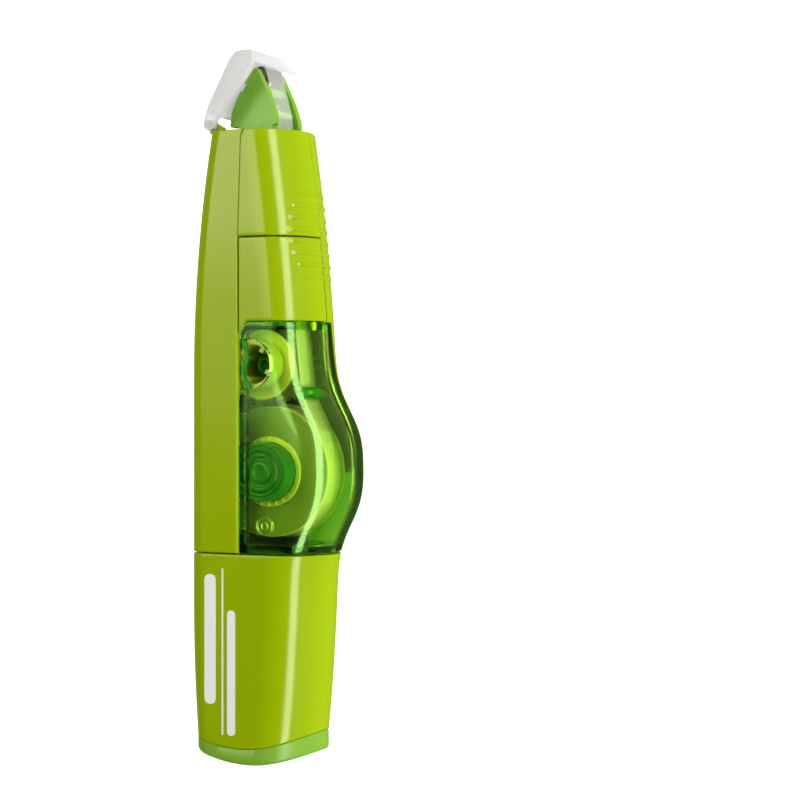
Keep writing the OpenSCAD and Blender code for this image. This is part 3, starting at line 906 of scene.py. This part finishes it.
def make_pawl():
    """Wavy sprung finger across the winding opening, that stops the reel turning back."""
    upper, lower = [], []
    for x in steps(TAKEUP[0] - 3.85, TAKEUP[0] + 3.75, 40):
        bend = 10.35 + 0.4 * math.sin((x - TAKEUP[0]) * 1.25) + 0.02 * (x - TAKEUP[0]) ** 2
        half = 0.3 + 0.1 * math.cos((x - TAKEUP[0]) * 1.9)
        upper.append((x, bend - half))
        lower.append((x, bend + half))
    pawl = make_piece("winding_pawl", *prism(upper + lower[::-1], 14.75, 15.5), "refill",
                      "clear_green", BOSS)
    bevel(pawl, 0.15)


make_supply_reel()
make_takeup_reel()
make_pawl()
make_posts()
make_case_marks()

# ---- head -----------------------------------------------------------------------------------
PLATE_OUTLINE = [(99.8, 5.8), (102.3, 6.2), (103.9, 6.9), (106.6, 8.4), (108, 9.5), (109, 10.3),
                 (109, 10.8), (107, 11.75), (104.7, 12.9), (102.8, 13.6), (101, 14.2), (99.8, 14.2)]
ARM_OUTLINE = [(99.1, 3.6), (99.6, 3.2), (100.4, 3.2), (103, 4), (110.2, 8), (111.3, 9.2),
               (111.3, 11.2), (110.4, 12.1), (109.4, 12.1), (107.5, 10.9), (102.6, 6.9),
               (100.4, 5), (99.5, 4.9), (99.1, 4.5)]
STRIP_OUTLINE = [(101.5, 3.6), (103, 4), (110.2, 8), (111.3, 9.2), (111.3, 12.1), (109.4, 12.1),
                 (109.4, 11.6), (110.4, 11.4), (110.4, 9.6), (109.6, 8.9), (102.9, 5.1),
                 (101.4, 4.6)]
NOTCH = (106, 8.3)
NOTCH_R = 0.7
PIN_HOLE_R = 0.47
ARM_T = 1.2


def make_head():
    low, high = HALF_T - PLATE_OUT, HALF_T + PLATE_OUT
    outline = fillet(PLATE_OUTLINE, 0.5, 4)
    near = make_piece("head_plate_near", *prism(outline, high - PLATE_T, high), "refill",
                      "green_head", APPLE, ["head_frame"])
    cut(near, prism(circle(NOTCH, NOTCH_R, 40), high - 0.7, high + 2),
        prism(circle(TIP, PIN_HOLE_R, 32), high - 3, high - 0.3))
    bevel(near, 0.2)
    far = make_piece("head_plate_far", *prism(outline, low, low + PLATE_T), "refill",
                     "green_head", APPLE)
    cut(far, prism(circle(TIP, PIN_HOLE_R, 32), low + 0.3, low + 3))
    bevel(far, 0.2)
    # The web and crossbar take the paler apple plastic: painted light.
    web = make_piece("head_web", *box(99.8, 104, 9.8, 11, low + 1, high - 1), "refill",
                     "green_head", APPLE_PAINTED_LIGHT)
    bevel(web, 0.2)
    bar = make_piece("head_crossbar", *box(104.9, 106.3, 10.6, 11.6, low + 1, high - 1), "refill",
                     "green_head", APPLE_PAINTED_LIGHT)
    bevel(bar, 0.3)


def make_tip():
    low, high = HALF_T - PLATE_OUT + PLATE_T + 0.1, HALF_T + PLATE_OUT - PLATE_T - 0.1
    outline = [(0.02, HALF_T - PLATE_OUT + 0.4), (0.4, HALF_T - PLATE_OUT + 0.4), (0.4, low),
               (0.85, low), (1, low + 0.2), (1, high - 0.2), (0.85, high), (0.4, high),
               (0.4, HALF_T + PLATE_OUT - 0.4), (0.02, HALF_T + PLATE_OUT - 0.4)]
    points, faces = lathe(fillet(outline, 0.05, 2), TIP, 64)
    make_piece("tip_roller", points, faces, "tip", "tip_brown", TIP_BROWN, ["tip_roller"])
    guides = []
    for at in (FRONT_GUIDE, REAR_GUIDE):
        guides.append(lathe(fillet([(0.02, low - 0.05), (0.6, low - 0.05), (0.6, high + 0.05),
                                    (0.02, high + 0.05)], 0.04, 2), at, 40))
    # The guide pins take the paler apple plastic: painted light.
    make_piece("head_guides", *join(*guides), "refill", "guide_pin", APPLE_PAINTED_LIGHT, ["head_guides"])


def make_cover():
    arm = fillet(ARM_OUTLINE, 0.7, 5)
    cover = make_piece("head_cover", *prism(arm, BODY_T - ARM_T, BODY_T), "cover", "cover_white",
                       COVER, ["head_cover"])
    strip = fillet(STRIP_OUTLINE, 0.5, 4)
    cut(cover, prism(strip, 0.02, BODY_T - 0.02), prism(arm, 0, ARM_T), operation="UNION")
    cut(cover, prism(circle(COVER_PIN, 0.75, 40), 0.4, BODY_T - 0.4))
    bevel(cover, 0.22, 30)


def make_lugs():
    lugs = []
    for side in (0, 1):
        def height(z):
            return BODY_T - z if side else z
        block = [(NOSE_X - 0.3, 3.4), (99.9, 3.4), (100.3, 3.9), (100.3, 4.5), (99.6, 5.7),
                 (NOSE_X - 0.3, 5.7)]
        lugs.append(prism(fillet(block, 0.3), *sorted((height(1.35), height(2.8)))))
        pin = fillet([(0.02, height(0.5)), (0.7, height(0.5)), (0.7, height(2.2)),
                      (0.02, height(2.2))], 0.08, 2)
        lugs.append(lathe(pin, COVER_PIN, 40))
    bevel(make_piece("hinge_lugs", *join(*lugs), "shell", "lime_shell", LIME, ["hinge_lugs"]), 0.1)


make_head()
make_tip()
make_cover()
make_lugs()

# ---- plain print on the grip ----------------------------------------------------------------
STRIPES = ((4.4, 2.1, 8, 28.6), (6.7, 0.3, 3.2, 29.6), (8.3, 1.5, 3.2, 23))


def make_stripes():
    """Three plain white stripes along the near flat side: depth, width, first and last x."""
    bars = []
    for depth, width, x0, x1 in STRIPES:
        outline = fillet([(x0, depth - width / 2), (x1, depth - width / 2),
                          (x1, depth + width / 2), (x0, depth + width / 2)], width * 0.49, 5)
        bars.append(prism(outline, BODY_T - 0.02, BODY_T + 0.03))
    make_piece("grip_stripes", *join(*bars), "grip", "lime_shell", INK)


make_stripes()

# ---- finish of the carried-over CAD nodes ---------------------------------------------------
FINISH = {
    "case_tail_wall": DEEP, "neck": APPLE, "idler_post": BOSS, "tape_feed": TAPE,
    "tape_return": FILM, "clutch_ring": RUBBER, "supply_gear": REEL, "takeup_gear": REEL,
    "idler_gear": REEL,
}
for node_name, finish in FINISH.items():
    node_object = frame["nodes"][node_name]
    node_object.data.materials.clear()
    node_object.data.materials.append(finish)
    if node_name not in ("tape_feed", "tape_return"):
        bevel(node_object, 0.08, 50, 2)

# ---- stage ----------------------------------------------------------------------------------
VIEW_TILT = math.radians(30)
CAMERA_MM = 300
AIM_X = 56.2
AIM_ASIDE = 18.6
LENS_MM = 84
towards = Vector((0, -math.sin(VIEW_TILT), math.cos(VIEW_TILT)))
rightwards = Vector((0, -math.cos(VIEW_TILT), -math.sin(VIEW_TILT)))
middle = Vector(world(AIM_X, Y_MID, HALF_T))
aim = middle + rightwards * AIM_ASIDE * MM
eye = middle + towards * CAMERA_MM * MM

camera_data = bpy.data.cameras.new("camera")
camera_data.lens = LENS_MM
camera_data.sensor_width = 36
camera_data.clip_start = 0.01
camera = bpy.data.objects.new("camera", camera_data)
bpy.context.collection.objects.link(camera)
forward = (aim - eye).normalized()
up = Vector((1, 0, 0))
side = forward.cross(up).normalized()
up = side.cross(forward)
turn = Matrix((side, up, -forward)).transposed()
camera.matrix_world = Matrix.Translation(eye) @ turn.to_4x4()
bpy.context.scene.camera = camera


def softbox(name, angle, distance, width, length, power, along=0.0, colour=(1, 1, 1)):
    """Area light over the roller. angle is from straight up towards the belly side."""
    data = bpy.data.lights.new(name, "AREA")
    data.shape = "RECTANGLE"
    data.size = length
    data.size_y = width
    data.energy = power
    data.color = colour
    light = bpy.data.objects.new(name, data)
    bpy.context.collection.objects.link(light)
    a = math.radians(angle)
    light.location = (along, -math.sin(a) * distance, math.cos(a) * distance)
    light.rotation_euler = (a, 0, 0)
    return light


WARM = (1, 0.95, 0.88)
softbox("soft_tip_a", -22, 0.7, width=0.62, length=0.5, power=3.6, along=0.33, colour=WARM)
softbox("soft_tip_b", -22, 0.72, width=0.62, length=0.34, power=0.8, along=0.16, colour=WARM)
strip = softbox("strip_belly", 44, 0.7, width=0.2, length=1.3, power=8)
strip.visible_diffuse = False
fill = softbox("fill_belly", 70, 0.8, width=0.4, length=0.8, power=5.9)
fill.visible_glossy = False

FLOOR_GLOW = 0.9
FLOOR_HALF = 3
SKY_DIM = 0.04
SKY_SEEN = 0.95


def make_floor():
    """White glowing paper that looks dimmer and slightly green in reflections."""
    h = FLOOR_HALF
    mesh = bpy.data.meshes.new("floor")
    mesh.from_pydata([(-h, -h, 0), (h, -h, 0), (h, h, 0), (-h, h, 0)], [], [(0, 1, 2, 3)])
    floor = bpy.data.objects.new("floor", mesh)
    bpy.context.collection.objects.link(floor)
    paper, tree, shader = new_material("floor_paper")
    shader.inputs["Base Color"].default_value = (0.9, 0.9, 0.9, 1)
    shader.inputs["Roughness"].default_value = 0.8
    shader.inputs["Specular IOR Level"].default_value = 0
    shader.inputs["Emission Color"].default_value = (1, 1, 1, 1)
    shader.inputs["Emission Strength"].default_value = FLOOR_GLOW
    bounce = tree.nodes.new("ShaderNodeBsdfDiffuse")
    bounce.inputs["Color"].default_value = (0.28, 0.34, 0.14, 1)
    ray = tree.nodes.new("ShaderNodeLightPath")
    glossy = tree.nodes.new("ShaderNodeMath")
    glossy.operation = "SUBTRACT"
    tree.links.new(ray.outputs["Is Reflection Ray"], glossy.inputs[0])
    tree.links.new(ray.outputs["Is Diffuse Ray"], glossy.inputs[1])
    mixer = tree.nodes.new("ShaderNodeMixShader")
    tree.links.new(glossy.outputs["Value"], mixer.inputs["Fac"])
    tree.links.new(shader.outputs["BSDF"], mixer.inputs[1])
    tree.links.new(bounce.outputs["BSDF"], mixer.inputs[2])
    tree.links.new(mixer.outputs["Shader"], tree.nodes["Material Output"].inputs["Surface"])
    mesh.materials.append(paper)


def make_sky():
    """Pale backdrop beyond the floor, that lights the roller only faintly."""
    sky = bpy.data.worlds.new("studio")
    bpy.context.scene.world = sky
    sky.use_nodes = True
    tree = sky.node_tree
    tree.nodes["Background"].inputs["Color"].default_value = (1, 1, 1, 1)
    ray = tree.nodes.new("ShaderNodeLightPath")
    glow = ramp(tree, ray.outputs["Is Camera Ray"], SKY_DIM, SKY_SEEN, 0, 1)
    tree.links.new(glow, tree.nodes["Background"].inputs["Strength"])


make_floor()
make_sky()
bpy.context.scene.view_settings.view_transform = "Standard"
bpy.context.scene.cycles.max_bounces = 24
bpy.context.scene.cycles.transmission_bounces = 16
bpy.context.scene.cycles.transparent_max_bounces = 24
